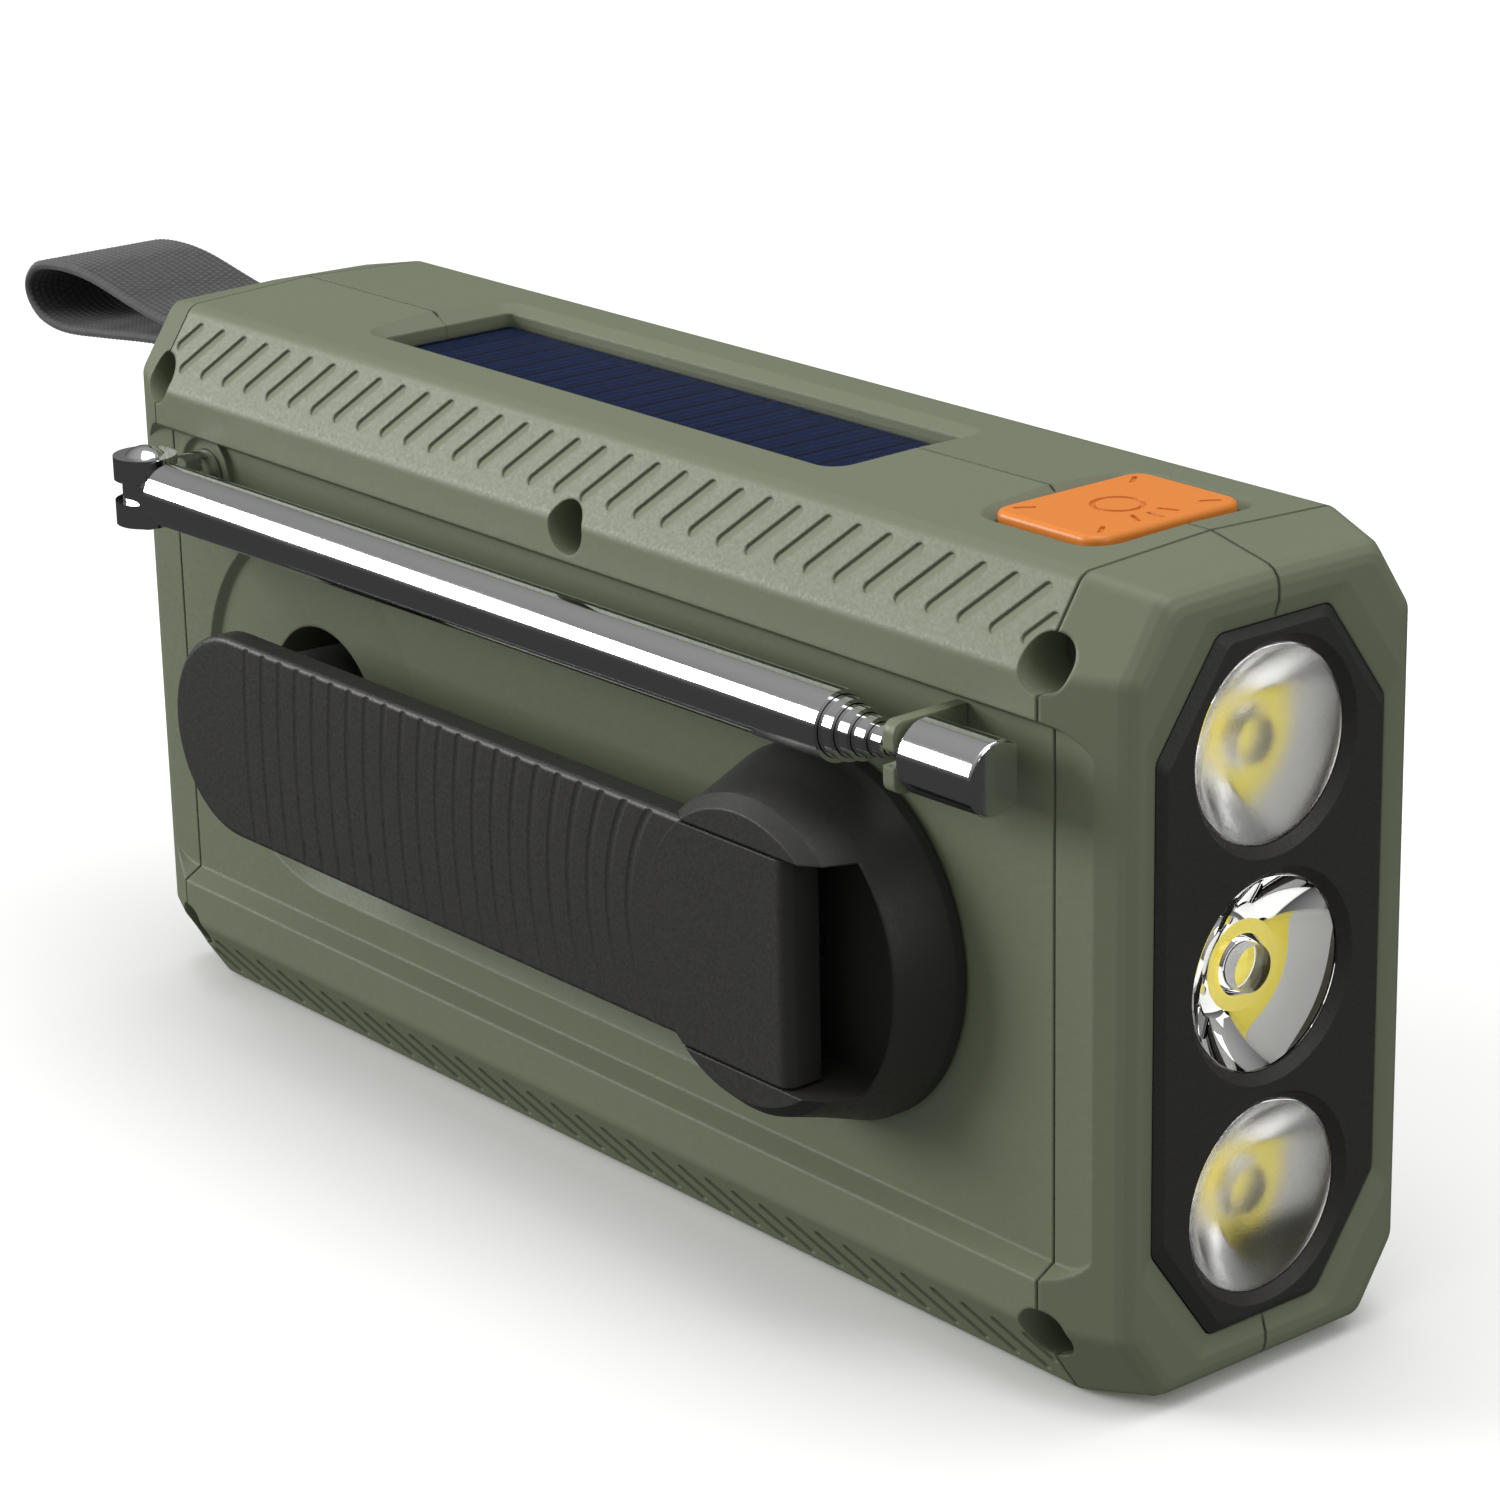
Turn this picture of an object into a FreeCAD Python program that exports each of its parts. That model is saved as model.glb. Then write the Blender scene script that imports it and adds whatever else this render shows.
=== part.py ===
"""Hand-crank and solar emergency radio: shells, lamp, antenna, crank, gear train and inner parts.

Frame: +X towards the lamp end, -Y is the side with the crank, +Z up.
The origin is in the middle of the flat bottom face. While a piece is made, z = 0 is the middle of
the case, and save() lifts every piece onto the bottom face. Millimetres.
"""
import FreeCAD, Part
import math
import os

V = FreeCAD.Vector

# ---- case ----
case_length = 150.0            # between the two end-cap seams
case_depth = 45.0
case_height = 83.9             # edge of the top face to the bottom face
crown = 0.75                   # how far the middle of the top stands above its edges
chamfer_y = 5.85               # long corner chamfers
chamfer_z = 8.75
corner_radius = 2.0
wall = 2.2
seam_width = 0.3
seam_depth = 0.6

# ---- end caps ----
cap_length = 9.0
cap_taper_y = 3.95             # how far each face draws in at the cap's end
cap_taper_z = 1.5
cap_taper_chamfer = 3.2
cap_edge_radius = 1.6

# ---- side recesses ----
recess_depth = 2.3
recess_height = 57.0
recess_lift = 0.3              # its middle is a little above the case's
recess_step = 2.6              # height of the sloped step
recess_corner = 6.0

# ---- fits ----
running = 0.05                 # radial clearance of a turning fit
sliding = 0.08                 # radial clearance of the antenna sections
moving_gap = 0.3               # between moving pieces that only pass each other
seat_gap = 0.12                # between a seated piece and its opening

# ---- crank ----
crank_x = 43.5
crank_z = -1.2
hub_radius = 19.5
hub_rim_radius = 17.8
hub_top_radius = 15.2
hub_height = 12.6              # above the recess floor
hub_floor_gap = 0.4
arm_width = 23.8
arm_thickness = 3.0
arm_height = 11.8              # outer face above the recess floor
arm_pad_rise = 0.8
arm_reach = 91.1               # hub centre to knob centre when folded
hinge_offset = 3.9             # hinge pin beyond the hub centre
hinge_pin_radius = 1.2
pin_seat = 2.6                 # how far the hinge pin goes into the hub each side
hub_slot_radius = 17.4         # round end of the arm's slot, about the hub's axis
ripple_pitch = 3.3
ripple_count = 22
ripple_depth = 0.12
knob_radius = 8.0
knob_length = 17.0
knob_axle_radius = 2.0
pocket_clearance = 2.4
dish_radius = 21.7
dish_depth = 0.9
channel_depth = 3.0            # finger channel under the arm
shaft_radius = 3.0
bush_wall = 2.0

# ---- gear train ----
gear_module = 0.7
drive_teeth = 48
pinion_teeth = 12
wheel_teeth = 36
gear_width = 3.0
gear_play = 0.06               # taken off each flank
generator_radius = 12.0
generator_length = 14.0

# ---- antenna ----
antenna_x = -68.0
antenna_z = 23.6
antenna_stand = 8.4            # fork centre above the recess floor
antenna_lean = 1.0             # degrees towards the case when stowed
tube_radius = 3.65
tube_step = 0.5
tube_length = 115.3
section_show = 1.8
section_count = 5
neck_radius = 0.95
tip_radius = 3.8
tip_length = 10.2
fork_radius = 3.7
fork_height = 8.0
tongue_thickness = 2.4
post_radius = 2.9

# ---- lamp ----
lens_radius = 9.9
lens_pitch = 23.3
lens_depth = 6.4
lens_back_radius = 4.7
lens_set_back = 0.85           # the lens's face below the end of the cap
cavity_radius = 3.2            # the hollow in the lens's back that the LED shines into
cavity_depth = 3.3
led_size = 4.0
bezel_half_width = 15.3
bezel_half_height = 35.8
bezel_chamfer_y = 7.9
bezel_chamfer_z = 10.9
bezel_bevel = 0.9
bezel_rise = 0.73              # height of the bevel
lip_depth = 0.6                # the sloping lip of the cap round the bezel
lip_width = 1.9

# ---- top ----
solar_length = 78.5
solar_width = 18.0
solar_x = -8.2
solar_panel_thickness = 1.6
button_length = 14.8
button_width = 20.2
button_x = 62.4
button_rise = 0.7              # its top above the edges of the case's top
button_travel = 1.0

# ---- front ----
speaker_x = -42.0
speaker_radius = 20.0
display_x = 18.0
display_z = 14.0
display_length = 44.0
display_height = 20.0
tuning_x = 54.0
tuning_z = -10.0
tuning_radius = 13.0
volume_x = 24.0
volume_z = -15.0
volume_radius = 8.0
knob_stand = 7.0
key_length = 11.0
key_height = 6.0
key_travel = 0.8

# ---- carrying strap ----
strap_width = 18.0
strap_thickness = 1.3
strap_z = 34.0
strap_reach = 42.6
strap_bulge = 4.6
strap_lift = 0.4               # rise of the loop's far end

# ---- inside ----
screw_radius = 1.3
screw_head_radius = 2.6
counterbore_radius = 2.85
post_wall = 1.6
cell_radius = 9.1
cell_length = 65.0

# ---- places worked out from the sizes above ----
half_x = case_length / 2
half_y = case_depth / 2
half_z = case_height / 2
end_x = half_x + cap_length
floor_y = -(half_y - recess_depth)          # crank-side recess floor
inner_y = half_y - recess_depth - wall      # inside face of both side walls
arm_face_y = floor_y - arm_height
arm_back_y = arm_face_y + arm_thickness
pad_face_y = arm_face_y - arm_pad_rise
hub_face_y = floor_y - hub_height
slot_half = arm_width / 2 + moving_gap
hinge_x = crank_x + hinge_offset
hinge_y = pad_face_y + 2.2
knob_x = crank_x - arm_reach
pocket_radius = knob_radius + pocket_clearance
fork_y = floor_y - antenna_stand


def save(name, *solids):
    shape = solids[0] if len(solids) == 1 else Part.makeCompound(list(solids))
    shape = shape.copy()
    shape.translate(V(0, 0, half_z))
    shape.exportStep("parts/" + name + ".step")


def box(x0, x1, y0, y1, z0, z1):
    low = V(min(x0, x1), min(y0, y1), min(z0, z1))
    return Part.makeBox(abs(x1 - x0), abs(y1 - y0), abs(z1 - z0), low)


def rod_x(x0, x1, y, z, radius):
    return Part.makeCylinder(radius, x1 - x0, V(x0, y, z), V(1, 0, 0))


def rod_y(y0, y1, x, z, radius):
    return Part.makeCylinder(radius, y1 - y0, V(x, y0, z), V(0, 1, 0))


def rod_z(z0, z1, x, y, radius):
    return Part.makeCylinder(radius, z1 - z0, V(x, y, z0), V(0, 0, 1))


def turned_y(points, x, z):
    """Solid of revolution about an axis along Y; points are (radius, y)."""
    loop = [V(r, y, 0) for r, y in points]
    face = Part.Face(Part.makePolygon(loop + loop[:1]))
    solid = face.revolve(V(0, 0, 0), V(0, 1, 0), 360)
    solid.translate(V(x, 0, z))
    return solid


def turned_x(points, y, z):
    """Solid of revolution about an axis along X; points are (x, radius)."""
    loop = [V(x, r, 0) for x, r in points]
    face = Part.Face(Part.makePolygon(loop + loop[:1]))
    solid = face.revolve(V(0, 0, 0), V(1, 0, 0), 360)
    solid.translate(V(0, y, z))
    return solid


def rounded(points, radius):
    """Closed wire through points, each corner an arc of the radius."""
    edges = []
    first = last = None
    for i, corner in enumerate(points):
        to_last = (points[i - 1] - corner).normalize()
        to_next = (points[(i + 1) % len(points)] - corner).normalize()
        half = to_last.getAngle(to_next) / 2
        reach = radius / math.tan(half)
        middle = (to_last + to_next).normalize() * (radius / math.sin(half) - radius)
        start, end = corner + to_last * reach, corner + to_next * reach
        if last:
            edges.append(Part.LineSegment(last, start).toShape())
        edges.append(Part.Arc(start, corner + middle, end).toShape())
        first = first or start
        last = end
    edges.append(Part.LineSegment(last, first).toShape())
    return Part.Wire(edges)


def prism(wire, along):
    return Part.Face(wire).extrude(along)


def rectangle(width, height, radius, axis, at, middle=(0, 0)):
    """Rounded rectangle across an axis; width is the first of the two other axes."""
    a, b = width / 2, height / 2
    corners = [(-a, -b), (a, -b), (a, b), (-a, b)]
    points = []
    for p, q in corners:
        p, q = p + middle[0], q + middle[1]
        points.append({"x": V(at, p, q), "y": V(p, at, q), "z": V(p, q, at)}[axis])
    return rounded(points, radius)


def slab(width, height, radius, axis, low, high, middle=(0, 0)):
    along = {"x": V(1, 0, 0), "y": V(0, 1, 0), "z": V(0, 0, 1)}[axis]
    return prism(rectangle(width, height, radius, axis, low, middle), along * (high - low))


def flared(size, radius, axis, at, grow, deeper, middle=(0, 0)):
    """A tapered pocket tool: size at the plane `at`, larger by grow all round at the plane `deeper`."""
    small = rectangle(size[0], size[1], radius, axis, at, middle)
    large = rectangle(size[0] + 2 * grow, size[1] + 2 * grow, radius + grow, axis, deeper, middle)
    return Part.makeLoft([small, large], True, True)


def offset_outline(points, inset):
    """Convex outline (y, z), counter-clockwise, moved inwards."""
    lines = []
    for i, (y0, z0) in enumerate(points):
        y1, z1 = points[(i + 1) % len(points)]
        length = math.hypot(y1 - y0, z1 - z0)
        ny, nz = (z1 - z0) / length, -(y1 - y0) / length
        lines.append((ny, nz, ny * y0 + nz * z0 - inset))
    result = []
    for i, (a1, b1, c1) in enumerate(lines):
        a0, b0, c0 = lines[i - 1]
        det = a0 * b1 - a1 * b0
        result.append(((c0 * b1 - c1 * b0) / det, (a0 * c1 - a1 * c0) / det))
    return result


def case_outline(taper=0.0, inset=0.0):
    """The case's cross-section as (y, z) points; taper 0 at the seam and 1 at the cap's end."""
    length = math.hypot(chamfer_y, chamfer_z)
    ny, nz = chamfer_z / length, chamfer_y / length
    side = half_y - cap_taper_y * taper
    top = half_z - cap_taper_z * taper
    reach = ny * (half_y - chamfer_y) + nz * half_z - cap_taper_chamfer * taper
    edge_y = (reach - nz * top) / ny
    edge_z = (reach - ny * side) / nz
    right = [(edge_y, -top), (side, -edge_z), (side, edge_z), (edge_y, top)]
    left = [(-y, z) for y, z in reversed(right)]
    ridge = (0, top + crown * (1 - 0.7 * taper))
    return offset_outline(right + [ridge] + left, inset)


def case_wire(x, taper=0.0, inset=0.0, radius=corner_radius):
    return rounded([V(x, y, z) for y, z in case_outline(taper, inset)], radius)


def case_block(inset=0.0):
    """The whole outside of the case, end caps included, as one solid; inset makes it smaller."""
    block = prism(case_wire(-half_x, 0, inset), V(case_length, 0, 0))
    straight = cap_length - cap_edge_radius
    for side in (-1, 1):
        wires = [case_wire(side * half_x, 0, inset)]
        wires.append(case_wire(side * (half_x + straight - inset), straight / cap_length, inset))
        for step in (1, 2, 3):
            turn = math.radians(30 * step)
            x = half_x + straight + cap_edge_radius * math.sin(turn)
            rounding = cap_edge_radius * (1 - math.cos(turn))
            wires.append(case_wire(side * (x - inset), (x - half_x) / cap_length,
                                   inset + rounding))
        block = block.fuse(Part.makeLoft(wires, True, True))
    return block


def recess_tool(side):
    """Rounded side recess with sloping steps; its floor eases inwards near both ends."""
    face = side * (half_y + 1)
    floor = side * (half_y - recess_depth)
    length = 2 * end_x - 4
    height = recess_height - recess_step
    rise = recess_depth + 1
    return flared((length, height), recess_corner, "y", floor,
                  recess_step * rise / recess_depth / 2, face, (0, recess_lift))


# ---- places of the screws, all along Y; the outer four sit on the cap seams ----
screw_z = half_z - chamfer_z + 0.9
screw_places = [(half_x, screw_z), (-half_x, screw_z), (half_x, -screw_z), (-half_x, -screw_z),
                (3.6, screw_z - 1.7)]
screw_seat_y = -14.0
screw_head = 2.0
screw_tip_y = 12.0

# ---- places along the crank's axis ----
bush_end_y = -(inner_y - 1.0)
drive_y = bush_end_y + 0.6                     # outer face of the drive gear
wheel_y = drive_y + gear_width + 0.8
wheel_width = 2.5
plate_y = wheel_y + wheel_width + 0.8
plate_thickness = 1.5
can_y = plate_y + plate_thickness
idler_x = crank_x - gear_module * (drive_teeth + pinion_teeth) / 2
rotor_x = idler_x - gear_module * (wheel_teeth + pinion_teeth) / 2
pocket_floor_y = arm_back_y + moving_gap + knob_length + pocket_clearance
stakes = [(idler_x, crank_z + 16.7), (idler_x, crank_z - 16.7), (crank_x + 21.0, crank_z)]
slot_floor_y = hub_face_y + 8.8

# ---- places inside ----
roof_z = half_z - wall                         # flat inside face of the top
end_wall = 2.4
end_in_x = end_x - end_wall
board_y = 9.6
board_thickness = 1.6
cell_x = -15.0
cell_y = 2.0
cell_z = -(half_z - wall - 0.75 - cell_radius)
port_y = 20.0
port_z0, port_z1 = -23.0, 4.0
port_axis_x = -(end_x - 1.0)
port_axis_z = port_z0 - 1.6
peg_x = -end_x + 3.9


def chamfer_vents():
    """Slanting pills along the long corner chamfer, each sunk along its upper edge only."""
    slope = math.hypot(chamfer_y, chamfer_z)
    pitch, run, low, high = 4.467, 4.17, 3.1, 8.1
    width, depth = 1.3, 0.3
    tilt = math.degrees(math.atan(depth / width))
    first = -half_x + 3.9
    grooves = []
    for i in range(-1, 33):
        x = first + pitch * i
        bottom, top = low, high
        if i == -1:
            bottom = (low + high) / 2
        if i == 32:
            top = (low + high) / 2
        lean = run / (high - low)
        start = V(x + lean * (bottom - low), bottom, 0)
        end = V(x + lean * (top - low), top, 0)
        angle = math.degrees(math.atan2(end.y - start.y, end.x - start.x))
        length = (end - start).Length
        pill = slab(length + width, width, width * 0.49, "z", 0.0, 1.0, (length / 2, 0))
        pill.rotate(V(0, -width / 2, 0), V(1, 0, 0), -tilt)
        pill.rotate(V(0, 0, 0), V(0, 0, 1), angle)
        pill.translate(start)
        grooves.append(pill)
    grooves = Part.makeCompound(grooves)
    grooves.rotate(V(0, 0, 0), V(1, 0, 0), math.degrees(math.acos(chamfer_y / slope)))
    grooves.translate(V(0, -half_y, half_z - chamfer_z))
    return grooves


def dish_tools():
    """The shallow round dish about the knob pocket and the deep finger channel under the arm."""
    x, z = knob_x - 0.9, crank_z - 0.3

    def bowl(depth, slope):
        return turned_y([(0, floor_y - 2), (dish_radius + 0.01, floor_y - 2),
                         (dish_radius, floor_y), (dish_radius - slope, floor_y + depth),
                         (0, floor_y + depth)], x, z)

    low = crank_z - arm_width / 2 - 0.4
    keep = box(x - dish_radius - 1, crank_x, floor_y - 2, floor_y + channel_depth, -half_z, low)
    deep = floor_y + channel_depth
    edge = z - dish_radius
    profile = [V(x, floor_y - 2, edge), V(x, floor_y, edge), V(x, deep, edge + channel_depth),
               V(x, deep, low), V(x, floor_y - 2, low)]
    run = prism(Part.makePolygon(profile + profile[:1]), V(crank_x - 16 - x, 0, 0))
    return [bowl(dish_depth, dish_depth), bowl(channel_depth, channel_depth).common(keep), run]


def case_pieces():
    """Cuts the hollow case into its two shells and four end-cap halves."""
    outer = case_block()
    for side in (-1, 1):
        outer = outer.cut(recess_tool(side))
    outer = outer.cut(Part.makeCompound(dish_tools()))

    hollow = prism(case_wire(-half_x, 0, wall), V(case_length, 0, 0))
    hollow = hollow.common(box(-half_x, half_x, -inner_y, inner_y, -roof_z, roof_z))
    for side in (-1, 1):
        depth = cap_length - end_wall
        room = prism(case_wire(side * half_x, depth / cap_length, wall), V(side * depth, 0, 0))
        hollow = hollow.fuse(room)
    keep = []
    for x, z in screw_places:
        keep.append(rod_y(-inner_y - 1, 0, x, z, counterbore_radius + post_wall))
        keep.append(rod_y(0, inner_y + 1, x, z, screw_radius + post_wall + 0.6))
    keep.append(rod_y(floor_y, pocket_floor_y + 1.6, knob_x, crank_z, pocket_radius + 1.8))
    keep.append(box(knob_x - 20, crank_x - 16, -inner_y, floor_y + channel_depth + 1.6,
                    crank_z - 25, crank_z - arm_width / 2 + 2))
    keep.append(rod_y(-inner_y, bush_end_y, crank_x, crank_z, shaft_radius + bush_wall + 2))
    keep.append(rod_y(-inner_y, -inner_y + 4.5, antenna_x, antenna_z, post_radius + 2.5))
    for x, z in stakes:
        keep.append(rod_y(-inner_y, plate_y, x, z, 2.2))
        keep.append(rod_y(plate_y, can_y + 0.6, x, z, 1.2))
    for side in (-1, 1):
        keep.append(box(-end_x, -end_x + 5.5, side * (strap_width / 2 + 0.5),
                        side * (strap_width / 2 + 2.5), strap_z - 3, strap_z + 3))
    clear = [lens_room(row) for row in (-1, 0, 1)]
    half = strap_width / 2 + 0.5
    clear.append(box(-end_in_x, peg_x + 1.4 + strap_thickness, -half, half,
                     strap_z - 3.2, strap_z + 3.2))
    keep = Part.makeCompound(keep).cut(Part.makeCompound(clear))
    body = outer.cut(hollow.cut(keep))

    cuts = []
    ring = rod_y(floor_y - 0.7, floor_y, antenna_x, antenna_z, post_radius + 2.6)
    ring = ring.cut(rod_y(floor_y - 1, floor_y, antenna_x, antenna_z, post_radius + 1.5))
    body = body.fuse(ring)
    for x, z in screw_places:
        cuts.append(rod_y(-half_y - 1, screw_seat_y, x, z, counterbore_radius))
        cuts.append(rod_y(screw_seat_y, screw_tip_y, x, z, screw_radius))
    cuts.append(rod_y(floor_y - 1, pocket_floor_y, knob_x, crank_z, pocket_radius))
    cuts.append(rod_y(floor_y - 1, bush_end_y, crank_x, crank_z, shaft_radius + bush_wall))
    cuts.append(rod_y(floor_y - 1, -inner_y + 5, antenna_x, antenna_z, post_radius + running))
    cuts += lamp_cuts() + top_cuts() + front_cuts() + left_end_cuts()
    vents = chamfer_vents()
    low_vents = vents.mirror(V(0, 0, 0), V(0, 0, 1))
    for group in (vents, low_vents):
        cuts.append(group)
        cuts.append(group.mirror(V(0, 0, 0), V(0, 1, 0)))
    body = body.cut(Part.makeCompound(cuts))

    core = case_block(seam_depth)
    for side in (-1, 1):
        tool = recess_tool(side)
        tool.translate(V(0, -side * seam_depth, 0))
        core = core.cut(tool)
    s = seam_width / 2
    far = end_x + 5
    seams = box(-far, far, -s, s, -50, 50)
    for side in (-1, 1):
        seams = seams.fuse(box(side * half_x - s, side * half_x + s, -50, 50, -50, 50))
    body = body.cut(seams.cut(core))

    spans = {"strap_cap": (-far, -half_x), "shell": (-half_x, half_x), "lamp_cap": (half_x, far)}
    halves = {"crank": (-50, 0), "front": (0, 50)}
    names = {("shell", "crank"): "crank_side_shell", ("shell", "front"): "front_shell"}
    pieces = {}
    for span, (x0, x1) in spans.items():
        for half, (y0, y1) in halves.items():
            name = names.get((span, half), f"{span}_{half}_half")
            pieces[name] = body.common(box(x0, x1, y0, y1, -50, 50))
    return pieces


def bezel_octagon(grow, x):
    """The bezel's outline, with two corners cut at each end."""
    y1, z1 = bezel_half_width + grow, bezel_half_height + grow
    y0, z0 = y1 - bezel_chamfer_y, z1 - bezel_chamfer_z
    right = [(y0, -z1), (y1, -z0), (y1, z0), (y0, z1)]
    points = right + [(-y, z) for y, z in reversed(right)]
    return rounded([V(x, y, z) for y, z in points], 1.6)


def lens_profile(grow):
    """Half section (x, radius) of a lens from its back to its face: a deep bowl, like a reflector."""
    face_x = end_x - lens_set_back
    back_x = face_x - lens_depth
    edge_x = face_x - 0.8
    points = []
    steps = 8
    for n in range(steps + 1):
        share = n / steps
        spread = lens_radius ** 2 - lens_back_radius ** 2
        radius = math.sqrt(lens_back_radius ** 2 + spread * share)
        points.append((back_x + (edge_x - back_x) * share, radius + grow))
    return points + [(face_x, lens_radius + grow)]


def lens_room(row):
    """Room round one lens and its LED, clear of the screw posts."""
    gap = 0.4
    outline = lens_profile(gap)
    low_x = outline[0][0] - 1.5
    points = [(low_x, 0), (low_x, outline[0][1])] + outline + [(outline[-1][0], 0)]
    return turned_x(points, 0, row * lens_pitch)


def lamp_cuts():
    """The bezel's opening and the sloping lip round it."""
    opening = prism(bezel_octagon(seat_gap, end_in_x - 1), V(10, 0, 0))
    lip = Part.makeLoft([bezel_octagon(seat_gap, end_x - lip_depth),
                         bezel_octagon(2 * lip_width, end_x + lip_depth)], True, True)
    return [opening, lip]


def lamp_pieces():
    edge_x = end_x - lip_depth
    face_x = edge_x + bezel_rise
    plug = prism(bezel_octagon(0, end_in_x), V(edge_x - end_in_x, 0, 0))
    bevel = Part.makeLoft([bezel_octagon(0, edge_x), bezel_octagon(-bezel_bevel, face_x)],
                          True, True)
    flange = prism(bezel_octagon(1.4, end_in_x - 2.0), V(2.0, 0, 0))
    bezel = plug.fuse(bevel).fuse(flange)
    bore = lens_radius + seat_gap
    lens_x = end_x - lens_set_back
    mouth = face_x - lens_x + 0.1
    low_x = end_in_x - 3.0
    for row in (-1, 0, 1):
        bezel = bezel.cut(turned_x([(low_x, 0), (low_x, bore), (lens_x, bore),
                                    (lens_x + mouth, bore + mouth), (lens_x + mouth, 0)],
                                   0, row * lens_pitch))
    save("lamp_bezel", bezel)
    back_x = lens_x - lens_depth
    deep_x = back_x + cavity_depth
    hollow = [(deep_x, 0), (deep_x, cavity_radius - 0.75), (back_x, cavity_radius)]
    for name, row in (("lower_lens", -1), ("middle_lens", 0), ("upper_lens", 1)):
        points = hollow + lens_profile(0) + [(lens_x, 0)]
        save(name, turned_x(points, 0, row * lens_pitch))
    led_x = back_x - 1.1
    save("led_board", box(led_x - 1.6, led_x, -11, 11, -lens_pitch - 5, lens_pitch + 5))
    half = led_size / 2
    chips = [box(led_x, led_x + 0.8, -half, half, z - half, z + half)
             for z in (-lens_pitch, 0, lens_pitch)]
    save("led_chips", *chips)


def top_cuts():
    """The solar window and the light button's opening, each in its own bevelled recess."""
    size = (solar_length, solar_width)
    window = slab(*size, 1.0, "z", roof_z - 1, half_z + 2, (solar_x, 0))
    bevel = flared(size, 1.0, "z", half_z - 0.6, 4.2, half_z + 1.6, (solar_x, 0))
    size = (button_length + 2 * moving_gap, button_width + 2 * moving_gap)
    opening = slab(*size, 2.4, "z", roof_z - 1, half_z + 2, (button_x, 0))
    dip = flared(size, 2.4, "z", half_z - 0.7, 3.0, half_z + 1.6, (button_x, 0))
    return [window, bevel, opening, dip]


def button_marks(top):
    """A ring with three short rays and a short bar near each corner, sunk a little."""
    deep = top - 0.25
    ring = rod_z(deep, top + 1, button_x, 0, 2.75).cut(rod_z(deep, top + 1, button_x, 0, 2.2))
    bar = slab(2.3, 0.5, 0.2, "z", deep, top + 1, (0, 0))
    marks = [ring]
    for turn in (-25, 0, 25):
        ray = bar.translated(V(5.2, 0, 0))
        ray.rotate(V(0, 0, 0), V(0, 0, 1), turn)
        marks.append(ray.translated(V(button_x, 0, 0)))
    corner_x, corner_y = button_length / 2 - 2.1, button_width / 2 - 2.8
    turn = math.degrees(math.atan2(corner_y, corner_x))
    for a in (-1, 1):
        for b in (-1, 1):
            mark = bar.rotated(V(0, 0, 0), V(0, 0, 1), turn * a * b)
            marks.append(mark.translated(V(button_x + a * corner_x, b * corner_y, 0)))
    return Part.makeCompound(marks)


def top_pieces():
    panel = slab(solar_length + 3, solar_width + 2.6, 0.5, "z", roof_z - solar_panel_thickness,
                 roof_z, (solar_x, 0))
    save("solar_panel", panel)
    cover = slab(solar_length - 2 * seat_gap, solar_width - 2 * seat_gap, 0.9, "z", roof_z,
                 roof_z + 0.65, (solar_x, 0))
    save("solar_cover", cover)
    top = half_z + button_rise
    flange_z = roof_z - 0.3
    cap = slab(button_length, button_width, 2.1, "z", flange_z, top, (button_x, 0))
    rim = [e for e in cap.Edges if abs(e.BoundBox.ZMin - top) < 1e-6]
    cap = cap.makeFillet(0.6, rim)
    flange = slab(button_length + 3, button_width + 3, 1.0, "z", flange_z - 1.3, flange_z,
                  (button_x, 0))
    save("light_button", cap.fuse(flange).cut(button_marks(top)))
    switch_top = flange_z - 1.3 - button_travel - 0.3
    board = box(button_x - 7, button_x + 7, -11, 11, switch_top - 4.0, switch_top - 2.6)
    switch = box(button_x - 3, button_x + 3, -3, 3, switch_top - 2.6, switch_top)
    save("button_board", board, switch)


def antenna_frame(shape):
    """Leans a stowed antenna piece towards the case about its rivet."""
    shape.rotate(V(antenna_x, fork_y, antenna_z), V(0, 0, 1), antenna_lean)
    return shape


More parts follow.
